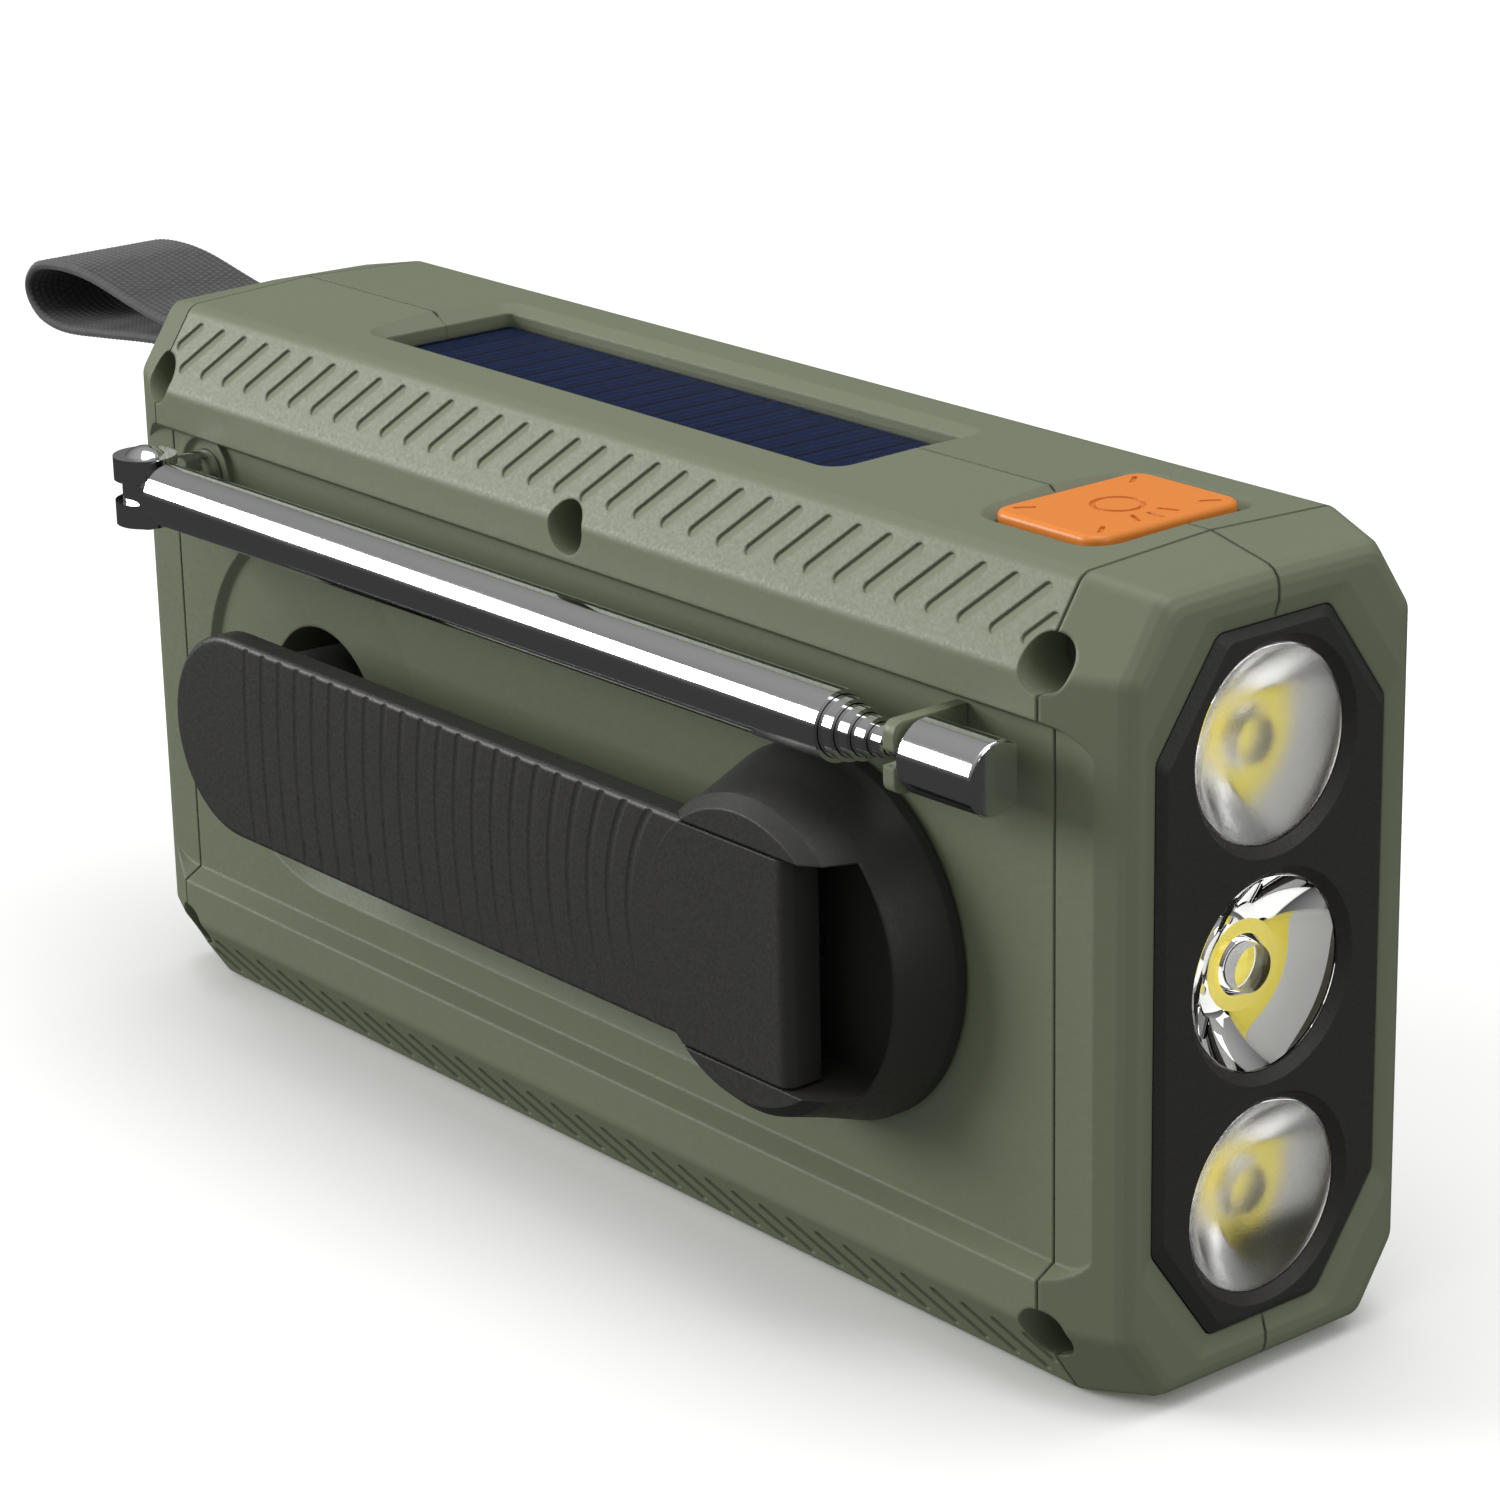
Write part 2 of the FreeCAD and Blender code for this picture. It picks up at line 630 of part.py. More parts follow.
def antenna_pieces():
    half = fork_height / 2
    slot = tongue_thickness / 2 + running
    post = rod_y(fork_y, -inner_y + 4.5, antenna_x, antenna_z, post_radius)
    head = rod_z(antenna_z - half, antenna_z + half, antenna_x, fork_y, fork_radius)
    washer = rod_y(-inner_y + 4.5, -inner_y + 6.0, antenna_x, antenna_z, post_radius + 2.0)
    post = post.fuse(head).fuse(washer)
    post = post.cut(box(antenna_x - 6, antenna_x + 6, fork_y - 6, fork_y + fork_radius + 0.3,
                        antenna_z - slot, antenna_z + slot))
    post = post.cut(rod_z(antenna_z - half - 1, antenna_z + half + 1, antenna_x, fork_y, 1.1))
    save("antenna_post", post)
    rivet = rod_z(antenna_z - half - 0.6, antenna_z + half + 0.6, antenna_x, fork_y, 1.1)
    for side in (-1, 1):
        dome = Part.makeSphere(3.0, V(antenna_x, fork_y, antenna_z + side * (half - 2.0)))
        outer = box(antenna_x - 4, antenna_x + 4, fork_y - 4, fork_y + 4,
                    antenna_z + side * half, antenna_z + side * (half + 3))
        rivet = rivet.fuse(dome.common(outer))
    save("antenna_rivet", rivet)

    start_x = antenna_x + fork_radius + 1.0
    end = start_x + tube_length
    bore = tube_radius - tube_step + sliding
    tube = rod_x(start_x, end, fork_y, antenna_z, tube_radius)
    tube = tube.cut(rod_x(start_x + 6, end + 1, fork_y, antenna_z, bore))
    t = tongue_thickness / 2
    tongue = box(antenna_x, start_x + 1, fork_y - 2.8, fork_y + 2.8, antenna_z - t, antenna_z + t)
    tongue = tongue.fuse(rod_z(antenna_z - t, antenna_z + t, antenna_x, fork_y, 2.8))
    tube = tube.fuse(tongue)
    tube = tube.cut(rod_z(antenna_z - t - 1, antenna_z + t + 1, antenna_x, fork_y, 1.1 + running))
    save("antenna_tube", antenna_frame(tube))
    for n in range(1, section_count):
        radius = tube_radius - n * tube_step
        stop = end + n * section_show
        piece = rod_x(start_x + 8 + n, stop, fork_y, antenna_z, radius)
        piece = piece.cut(rod_x(start_x + 6, stop + 1, fork_y, antenna_z,
                                radius - tube_step + sliding))
        save(f"antenna_section_{n + 1}", antenna_frame(piece))
    radius = tube_radius - section_count * tube_step
    stop = end + section_count * section_show
    tip_x = stop + 2.6
    core = rod_x(start_x + 14, stop, fork_y, antenna_z, radius)
    core = core.fuse(rod_x(stop, tip_x, fork_y, antenna_z, neck_radius))
    tip = rod_x(tip_x, tip_x + tip_length, fork_y, antenna_z, tip_radius)
    tip = tip.makeFillet(0.35, [e for e in tip.Edges if e.Closed])
    tip = tip.cut(box(tip_x - 1, tip_x + tip_length + 1, fork_y + 2.3, fork_y + 6,
                      antenna_z - 5, antenna_z + 5))
    save("antenna_tip", antenna_frame(core.fuse(tip)))

    neck_x = stop + 1.3
    neck_x = antenna_x + (neck_x - antenna_x) * math.cos(math.radians(antenna_lean))
    neck_y = fork_y + (neck_x - antenna_x) * math.tan(math.radians(antenna_lean))
    clip = slab(9.4, 7.2, 1.2, "x", neck_x - 0.8, neck_x + 0.8, (floor_y - 4.7, antenna_z))
    clip = clip.fuse(box(neck_x - 0.8, neck_x + 0.8, floor_y - 2, floor_y,
                         antenna_z - 3.6, antenna_z + 3.6))
    catch = neck_radius + 0.05
    clip = clip.cut(rod_x(neck_x - 2, neck_x + 2, neck_y, antenna_z, catch))
    clip = clip.cut(box(neck_x - 2, neck_x + 2, floor_y - 12, neck_y,
                        antenna_z - catch + 0.2, antenna_z + catch - 0.2))
    save("antenna_clip", clip)


def gear(teeth, width, y, x, z, turn=0.0, bore=0.0):
    """Involute spur gear about an axis along Y, its outer face at y; turn is in tooth pitches."""
    pitch = gear_module * teeth / 2
    base = pitch * math.cos(math.radians(20))
    outer = pitch + 0.75 * gear_module
    root = pitch - 1.1 * gear_module
    tooth = math.pi / (2 * teeth) - gear_play / pitch

    def half_angle(radius):
        def spread(r):
            angle = math.acos(min(1.0, base / r))
            return math.tan(angle) - angle
        return tooth + spread(pitch) - spread(max(radius, base))

    low = max(root, base)
    radii = [root] if root < base - 0.01 else []
    radii += [low + (outer - low) * k / 4 for k in range(5)]
    points = []
    for n in range(teeth):
        middle = 2 * math.pi * (n + turn) / teeth
        for side, order in ((-1, radii), (1, radii[::-1])):
            for r in order:
                angle = middle + side * half_angle(r)
                points.append(V(x + r * math.cos(angle), y, z + r * math.sin(angle)))
    solid = prism(Part.makePolygon(points + points[:1]), V(0, width, 0))
    if bore:
        solid = solid.cut(rod_y(y - 1, y + width + 1, x, z, bore))
    return solid


def hub_piece():
    hub = turned_y([(0, hub_face_y), (hub_top_radius, hub_face_y),
                    (hub_top_radius + 1.3, hub_face_y + 1.5),
                    (hub_rim_radius, hub_face_y + 6.0), (hub_radius, floor_y - 1.6),
                    (hub_radius, floor_y - hub_floor_gap), (0, floor_y - hub_floor_gap)],
                   crank_x, crank_z)
    z0, z1 = crank_z - slot_half, crank_z + slot_half
    slot = box(crank_x, crank_x + 25, hub_face_y - 1, slot_floor_y, z0, z1)
    slot = slot.common(rod_y(hub_face_y - 1, slot_floor_y, crank_x, crank_z, hub_slot_radius))
    hub = hub.cut(box(crank_x - 25, crank_x, hub_face_y - 1, slot_floor_y, z0, z1)).cut(slot)
    rim_y = 2 * hinge_y - pad_face_y + moving_gap
    hub = hub.cut(box(crank_x, crank_x + 25, hub_face_y - 1, rim_y, z0, z1))
    hub = hub.cut(rod_z(z0 - pin_seat, z1 + pin_seat, hinge_x, hinge_y, hinge_pin_radius))
    head_y = slot_floor_y + 1.8
    hub = hub.cut(rod_y(slot_floor_y - 1, head_y, crank_x, crank_z, 2.8))
    hub = hub.cut(rod_y(head_y, floor_y, crank_x, crank_z, shaft_radius))
    return hub, z0, z1, head_y


def arm_piece():
    half = arm_width / 2
    end_face = hinge_x + 3.0
    edge = 0.7
    plate = box(knob_x, crank_x, arm_face_y, arm_back_y, crank_z - half, crank_z + half)
    plate = plate.fuse(rod_y(arm_face_y, arm_back_y, knob_x, crank_z, half)).removeSplitter()
    front = [e for e in plate.Edges
             if e.BoundBox.YMax < arm_face_y + 1e-6 and e.BoundBox.XMin < crank_x - 1]
    plate = plate.makeFillet(edge, front)
    ripples = []
    for n in range(ripple_count):
        radius = hub_top_radius + 3.6 + ripple_pitch * n
        ripples.append(Part.makeTorus(radius, 1.4, V(crank_x, arm_face_y + ripple_depth - 1.4,
                                                      crank_z), V(0, 1, 0)))
    plate = plate.cut(Part.makeCompound(ripples))
    pad_back = 2 * hinge_y - pad_face_y
    pad = rod_y(pad_face_y, pad_back, crank_x, crank_z, hub_top_radius)
    pad = pad.common(box(crank_x - 20, end_face, pad_face_y, pad_back,
                         crank_z - half, crank_z + half))
    corner = [e for e in pad.Edges
              if e.BoundBox.XMin > end_face - 1e-3 and e.BoundBox.YMax < pad_face_y + 1e-3]
    pad = pad.makeFillet(1.4, corner)
    arm = plate.fuse(pad)
    arm = arm.cut(rod_z(crank_z - half - 1, crank_z + half + 1, hinge_x, hinge_y,
                        hinge_pin_radius + running))
    return arm.cut(rod_y(arm_face_y + 1.2, arm_back_y + 1, knob_x, crank_z, knob_axle_radius))


def crank_pieces():
    hub, z0, z1, head_y = hub_piece()
    save("crank_hub", hub)
    save("hinge_pin", rod_z(z0 - pin_seat, z1 + pin_seat, hinge_x, hinge_y, hinge_pin_radius))
    save("crank_arm", arm_piece())
    top_y = arm_back_y + moving_gap
    end_y = top_y + knob_length
    r = knob_radius
    knob = turned_y([(knob_axle_radius + running, top_y), (r - 0.8, top_y), (r, top_y + 0.8),
                     (r - 0.5, end_y - 1.4), (r - 1.9, end_y), (4.6, end_y), (4.6, end_y - 1.6),
                     (knob_axle_radius + running, end_y - 1.6)], knob_x, crank_z)
    save("crank_knob", knob)
    axle = rod_y(arm_face_y + 1.2, end_y - 1.3, knob_x, crank_z, knob_axle_radius)
    axle = axle.fuse(rod_y(end_y - 1.3, end_y - 0.2, knob_x, crank_z, 4.2))
    save("knob_axle", axle)
    shaft = rod_y(head_y, can_y + 0.4, crank_x, crank_z, shaft_radius)
    screw = rod_y(slot_floor_y, head_y, crank_x, crank_z, 2.8)
    screw = screw.fuse(rod_y(head_y, head_y + 6, crank_x, crank_z, 1.5))
    socket = rod_y(slot_floor_y - 1, slot_floor_y + 1.0, crank_x, crank_z, 1.2)
    save("crank_shaft", shaft.cut(rod_y(head_y, head_y + 6, crank_x, crank_z, 1.5)))
    save("hub_screw", screw.cut(socket))
    bush = rod_y(floor_y, bush_end_y, crank_x, crank_z, shaft_radius + bush_wall)
    save("crank_bush", bush.cut(rod_y(floor_y - 1, bush_end_y + 1, crank_x, crank_z,
                                      shaft_radius + running)))


def gear_pieces():
    save("drive_gear", gear(drive_teeth, gear_width, drive_y, crank_x, crank_z, 0, shaft_radius))
    axle_radius = 1.5
    wheel = gear(wheel_teeth, wheel_width, wheel_y, idler_x, crank_z)
    pinion = gear(pinion_teeth, wheel_y - drive_y + 0.2, drive_y - 0.2, idler_x, crank_z, 0.5)
    idler = wheel.fuse(pinion)
    save("idler_gear", idler.cut(rod_y(drive_y - 1, plate_y, idler_x, crank_z,
                                       axle_radius + running)))
    save("idler_axle", rod_y(-inner_y, can_y, idler_x, crank_z, axle_radius))
    shaft_r = 1.0
    pinion = gear(pinion_teeth, wheel_width + 0.4, wheel_y - 0.2, rotor_x, crank_z, 0.5, shaft_r)
    save("rotor_pinion", pinion)
    end_y = can_y + generator_length
    rotor = rod_y(wheel_y - 0.4, end_y - 1.4, rotor_x, crank_z, shaft_r)
    rotor = rotor.fuse(rod_y(can_y + 2.6, end_y - 2.6, rotor_x, crank_z, generator_radius - 4.0))
    save("rotor", rotor)
    plate = slab(68.0, 39.0, 3.0, "y", plate_y, can_y, (crank_x - 12.0, crank_z - 0.2))
    holes = [rod_y(plate_y - 1, can_y + 1, crank_x, crank_z, shaft_radius + running)]
    holes.append(rod_y(plate_y - 1, can_y + 1, idler_x, crank_z, axle_radius))
    holes.append(rod_y(plate_y - 1, can_y + 1, rotor_x, crank_z, shaft_r + running))
    for x, z in stakes:
        holes.append(rod_y(plate_y - 1, can_y + 1, x, z, 1.2))
    save("gearbox_plate", plate.cut(Part.makeCompound(holes)))
    can = rod_y(can_y, end_y, rotor_x, crank_z, generator_radius)
    can = can.cut(rod_y(can_y + 1, end_y - 1, rotor_x, crank_z, generator_radius - 0.8))
    can = can.cut(rod_y(can_y - 1, can_y + 1, rotor_x, crank_z, shaft_r + running))
    save("generator_can", can)
    coils = rod_y(can_y + 2, end_y - 2, rotor_x, crank_z, generator_radius - 0.8)
    save("stator_coils", coils.cut(rod_y(can_y, end_y, rotor_x, crank_z, generator_radius - 3.5)))


def front_cuts():
    """Speaker slots, display window, shaft holes and key holes in the front recess floor."""
    near, far = inner_y - 1, half_y + 1
    cuts = []
    for row in range(-3, 4):
        z = row * 5.0
        length = 2 * math.sqrt((speaker_radius - 2) ** 2 - z ** 2)
        cuts.append(slab(length, 2.2, 1.0, "y", near, far, (speaker_x, z)))
    seat = inner_y + 1.0
    cuts.append(slab(display_length, display_height, 1.5, "y", seat, far,
                     (display_x, display_z)))
    cuts.append(slab(display_length - 5, display_height - 4, 1.0, "y", near, far,
                     (display_x, display_z)))
    for x, z in ((tuning_x, tuning_z), (volume_x, volume_z)):
        cuts.append(rod_y(near, far, x, z, 3.5))
    for x, z in key_places.values():
        cuts.append(slab(key_length + 2 * moving_gap, key_height + 2 * moving_gap, 1.2, "y",
                         near, far, (x, z)))
    return cuts


key_places = {"key_band": (4.0, -9.0), "key_sos": (4.0, -19.0)}


def front_pieces():
    face = inner_y + wall
    window = slab(display_length - 2 * seat_gap, display_height - 2 * seat_gap, 1.3, "y",
                  inner_y + 1.0, face, (display_x, display_z))
    save("display_window", window)
    module = slab(display_length - 3, display_height - 2, 0.8, "y", 13.0, 16.8,
                  (display_x, display_z))
    save("display_module", module)
    back = board_y + board_thickness
    board = slab(85.0, 44.0, 1.5, "y", board_y, back, (27.0, 3.5))
    controls = []
    for x, z in ((tuning_x, tuning_z), (volume_x, volume_z)):
        body = box(x - 5.5, x + 5.5, back, back + 5.0, z - 5.5, z + 5.5)
        body = body.fuse(rod_y(back + 5.0, face + knob_stand - 3.5, x, z, 3.0))
        controls.append(body)
    for x, z in key_places.values():
        controls.append(box(x - 3, x + 3, back, back + 3.4, z - 3, z + 3))
    save("main_board", board, *controls)
    for name, x, z, radius in (("tuning_knob", tuning_x, tuning_z, tuning_radius),
                               ("volume_knob", volume_x, volume_z, volume_radius)):
        low, high = face + moving_gap, face + knob_stand
        bore = 3.0 + running
        knob = turned_y([(bore, low), (radius, low), (radius, high - 1.2), (radius - 1.2, high),
                         (0, high), (0, high - 3.0), (bore, high - 3.0)], x, z)
        grips = []
        count = int(2 * math.pi * radius / 2.6)
        for n in range(count):
            turn = 2 * math.pi * n / count
            grips.append(rod_y(low - 1, high + 1, x + (radius + 0.3) * math.cos(turn),
                               z + (radius + 0.3) * math.sin(turn), 0.7))
        pointer = box(x - 0.5, x + 0.5, high - 0.3, high + 1, z + radius * 0.45, z + radius * 0.8)
        save(name, knob.cut(Part.makeCompound(grips + [pointer])))
    for name, (x, z) in key_places.items():
        key = slab(key_length, key_height, 1.0, "y", inner_y - 0.3, face + 1.2, (x, z))
        flange = slab(key_length + 2.4, key_height + 2.4, 0.8, "y", inner_y - 1.3, inner_y - 0.3,
                      (x, z))
        save(name, key.fuse(flange))
    rim = speaker_radius
    frame = turned_y([(rim - 2.2, inner_y), (rim, inner_y), (rim, inner_y - 1.4),
                      (rim - 1.8, inner_y - 1.4), (10, 10.8), (3, 10.8), (3, 11.6), (9.6, 11.6),
                      (rim - 2.2, inner_y - 1.2)], speaker_x, 0)
    save("speaker_frame", frame)
    cone = turned_y([(0, 12.6), (5.5, 12.6), (rim - 2.6, inner_y - 0.9), (rim - 2.6, inner_y - 0.3),
                     (5.3, 13.2), (0, 13.2)], speaker_x, 0)
    save("speaker_cone", cone)
    save("speaker_magnet", rod_y(5.0, 10.8, speaker_x, 0, 9.5))


def left_end_cuts():
    """The port opening with its hinge notch, the hinge pin's hole and the strap's slot."""
    x0, x1 = -end_x - 1, -end_in_x + 1
    middle = (port_z0 + port_z1) / 2
    opening = slab(port_y, port_z1 - port_z0, 1.5, "x", x0, x1, (0, middle))
    notch = box(x0, x1, -7.3, 7.3, port_axis_z - 1.7, port_z0 + 1)
    pin = rod_y(-9.5, 9.5, port_axis_x, port_axis_z, 0.6)
    half = strap_width / 2 + 0.4
    slot = box(x0, x1, -half, half, strap_z - 1.9, strap_z + 1.9)
    peg = rod_y(-half - 2.2, half + 2.2, -end_x + 3.9, strap_z, 1.0)
    return [opening, notch, pin, slot, peg]


def teardrop(root_x, tip_x, z0, z1, small, large):
    """Outline in XZ of a belt round two circles, the large one at the far end."""
    a, b = V(root_x, 0, z0), V(tip_x, 0, z1)
    along = b - a
    length = along.Length
    along = along.normalize()
    across = V(-along.z, 0, along.x)
    lean = math.asin((large - small) / length)

    def at(centre, radius, angle):
        return centre + along * (radius * math.cos(angle)) + across * (radius * math.sin(angle))

    side = math.pi / 2 + lean
    edges = [Part.Arc(at(b, large, -side), at(b, large, 0), at(b, large, side)).toShape(),
             Part.LineSegment(at(b, large, side), at(a, small, side)).toShape(),
             Part.Arc(at(a, small, side), at(a, small, math.pi), at(a, small, -side)).toShape(),
             Part.LineSegment(at(a, small, -side), at(b, large, -side)).toShape()]
    return Part.Wire(edges)


def left_end_pieces():
    middle = (port_z0 + port_z1) / 2
    gap = moving_gap
    cover = slab(port_y - 2 * gap, port_z1 - port_z0 - 2 * gap, 1.3, "x",
                 port_axis_x - 0.8, port_axis_x + 0.8, (0, middle))
    cover = cover.fuse(box(port_axis_x - 0.8, port_axis_x + 0.8, -6.9, 6.9, port_axis_z,
                           port_z0 + 1))
    cover = cover.fuse(rod_y(-6.9, 6.9, port_axis_x, port_axis_z, 1.25))
    cover = cover.cut(rod_y(-8, 8, port_axis_x, port_axis_z, 0.6 + running))
    save("port_cover", cover)
    save("cover_pin", rod_y(-9.5, 9.5, port_axis_x, port_axis_z, 0.6))
    front = port_axis_x + 1.4
    back = front + 6.0
    board = box(back, back + 1.6, -10, 10, -24, 5)
    usb_a = box(front, back, -3.6, 3.6, -20.2, -5.8)
    usb_a = usb_a.cut(box(front - 1, back - 0.6, -2.9, 2.9, -19.5, -6.5))
    usb_c = slab(9.0, 3.4, 1.6, "x", front, back, (0, -1.5))
    usb_c = usb_c.cut(slab(8.2, 2.6, 1.25, "x", front - 1, back - 0.6, (0, -1.5)))
    save("ports_board", board, usb_a, usb_c)

    half = strap_width / 2
    root_end = -end_x - 2.2
    thick = strap_thickness
    root = box(root_end, peg_x, -half, half, strap_z - thick, strap_z + thick)
    root = root.fuse(rod_y(-half, half, peg_x, strap_z, 1.0 + thick))
    root = root.cut(rod_y(-half - 1, half + 1, peg_x, strap_z, 1.0))
    save("strap_root", root)
    save("strap_peg", rod_y(-half - 2.6, half + 2.6, peg_x, strap_z, 1.0))
    root_x = root_end - moving_gap - thick - 0.1
    tip_x = -end_x - strap_reach + strap_bulge
    low = V(0, -half, 0)
    outer = teardrop(root_x, tip_x, strap_z, strap_z + strap_lift, thick + 0.1, strap_bulge)
    inner = teardrop(root_x, tip_x, strap_z, strap_z + strap_lift, 0.1, strap_bulge - thick)
    strap = prism(outer, V(0, strap_width, 0)).cut(prism(inner, V(0, strap_width, 0)))
    strap.translate(low)
    save("strap", strap)


def battery_pieces():
    end = cell_x + cell_length
    cell = rod_x(cell_x, end, cell_y, cell_z, cell_radius)
    cell = cell.makeFillet(0.6, [e for e in cell.Edges if e.Closed])
    save("battery_cell", cell.fuse(rod_x(end, end + 1.0, cell_y, cell_z, 3.0)))
    tray = box(cell_x - 3, end + 3.5, cell_y - 10, cell_y + 10, -roof_z, cell_z - 4)
    room = rod_x(cell_x - 0.3, end + 1.3, cell_y, cell_z, cell_radius + 0.2)
    save("battery_holder", tray.cut(room))


def screw_pieces():
    screws = []
    for x, z in screw_places:
        screw = rod_y(screw_seat_y - screw_head, screw_seat_y, x, z, screw_head_radius)
        screw = screw.fuse(rod_y(screw_seat_y, screw_tip_y, x, z, screw_radius))
        cross = box(x - 1.5, x + 1.5, screw_seat_y - screw_head - 1, screw_seat_y - 1.0,
                    z - 0.35, z + 0.35)
        cross = cross.fuse(box(x - 0.35, x + 0.35, screw_seat_y - screw_head - 1,
                               screw_seat_y - 1.0, z - 1.5, z + 1.5))
        screws.append(screw.cut(cross))
    save("case_screws", *screws)


os.makedirs("parts", exist_ok=True)
for name, piece in case_pieces().items():
    save(name, piece)
lamp_pieces()
top_pieces()
antenna_pieces()
crank_pieces()
gear_pieces()
front_pieces()
left_end_pieces()
battery_pieces()
screw_pieces()
print(len(os.listdir("parts")), "nodes")
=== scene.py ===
"""Looks of the hand-crank emergency radio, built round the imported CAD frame. Metres."""

import math

import bmesh
import bpy
from mathutils import Matrix, Vector


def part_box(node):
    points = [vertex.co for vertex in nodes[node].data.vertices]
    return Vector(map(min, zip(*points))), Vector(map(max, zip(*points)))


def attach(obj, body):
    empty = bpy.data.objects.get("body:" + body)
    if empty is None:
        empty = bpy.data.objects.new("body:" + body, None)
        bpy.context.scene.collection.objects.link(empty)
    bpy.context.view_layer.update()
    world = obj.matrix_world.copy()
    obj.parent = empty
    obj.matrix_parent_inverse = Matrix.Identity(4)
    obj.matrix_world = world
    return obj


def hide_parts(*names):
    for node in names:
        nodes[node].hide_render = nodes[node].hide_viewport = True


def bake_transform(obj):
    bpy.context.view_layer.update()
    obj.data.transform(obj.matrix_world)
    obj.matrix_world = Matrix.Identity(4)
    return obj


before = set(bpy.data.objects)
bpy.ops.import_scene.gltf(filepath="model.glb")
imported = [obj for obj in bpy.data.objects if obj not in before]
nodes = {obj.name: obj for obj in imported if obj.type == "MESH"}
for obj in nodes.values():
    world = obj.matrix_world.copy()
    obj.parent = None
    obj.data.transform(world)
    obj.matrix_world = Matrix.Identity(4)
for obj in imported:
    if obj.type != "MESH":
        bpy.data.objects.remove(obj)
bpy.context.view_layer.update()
MM = 0.001

# ---- camera and light ----
CAMERA_AZIMUTH = math.radians(50.67)      # from -Y towards +X
CAMERA_ELEVATION = math.radians(18.91)
CAMERA_ROLL = math.radians(-1.23)
CAMERA_DISTANCE = 488.5 * MM
CAMERA_TARGET = Vector((4.73, 0.77, 44.82)) * MM
CAMERA_LENS = 107.71
BACKDROP = (0.93, 0.93, 0.92, 1.0)
SKY = (0.48, 0.26, 0.90)                  # grey from below, at the horizon and overhead
DARK_ROOM = (0.05, 0.10, 0.45)            # the same, as polished surfaces mirror it

# ---- colours ----
OLIVE = (0.150, 0.168, 0.106, 1.0)
CHARCOAL = (0.026, 0.025, 0.023, 1.0)
ORANGE = (0.70, 0.21, 0.024, 1.0)
NAVY = (0.0008, 0.0085, 0.050, 1.0)
WEBBING = (0.018, 0.018, 0.018, 1.0)
PHOSPHOR = (0.78, 0.66, 0.10, 1.0)
PCB_GREEN = (0.012, 0.085, 0.035, 1.0)
BOARD_WHITE = (0.55, 0.55, 0.54, 1.0)

# ---- lamp ----
LENS_BACK_RADIUS = 4.7 * MM
LENS_RIM_HEIGHT = 0.8 * MM                # straight edge behind the lens's face
LENS_EDGE_ROUND = 0.12 * MM
HOLLOW_DEPTH = 3.3 * MM                   # the hollow in the lens's back, over the LED
HOLLOW_RADIUS = 3.2 * MM
HOLLOW_TOP_RADIUS = 2.45 * MM
HOLLOW_CROWN = 0.35 * MM
LENS_SEGMENTS = 128
PHOSPHOR_RADIUS = 6.6 * MM                # coat on the board round each LED
BOARD_THICKNESS = 1.6 * MM

# ---- strap ----
TAPE_HALF = 0.55 * MM                     # half its thickness under the weave
TAPE_EDGE = 0.5 * MM
KNOT_RISE = 0.16 * MM
KNOT_PITCH = 0.95 * MM
KNOT_ROWS = 20.0
TAPE_STEP = 0.24 * MM
TAPE_COLUMNS = 80


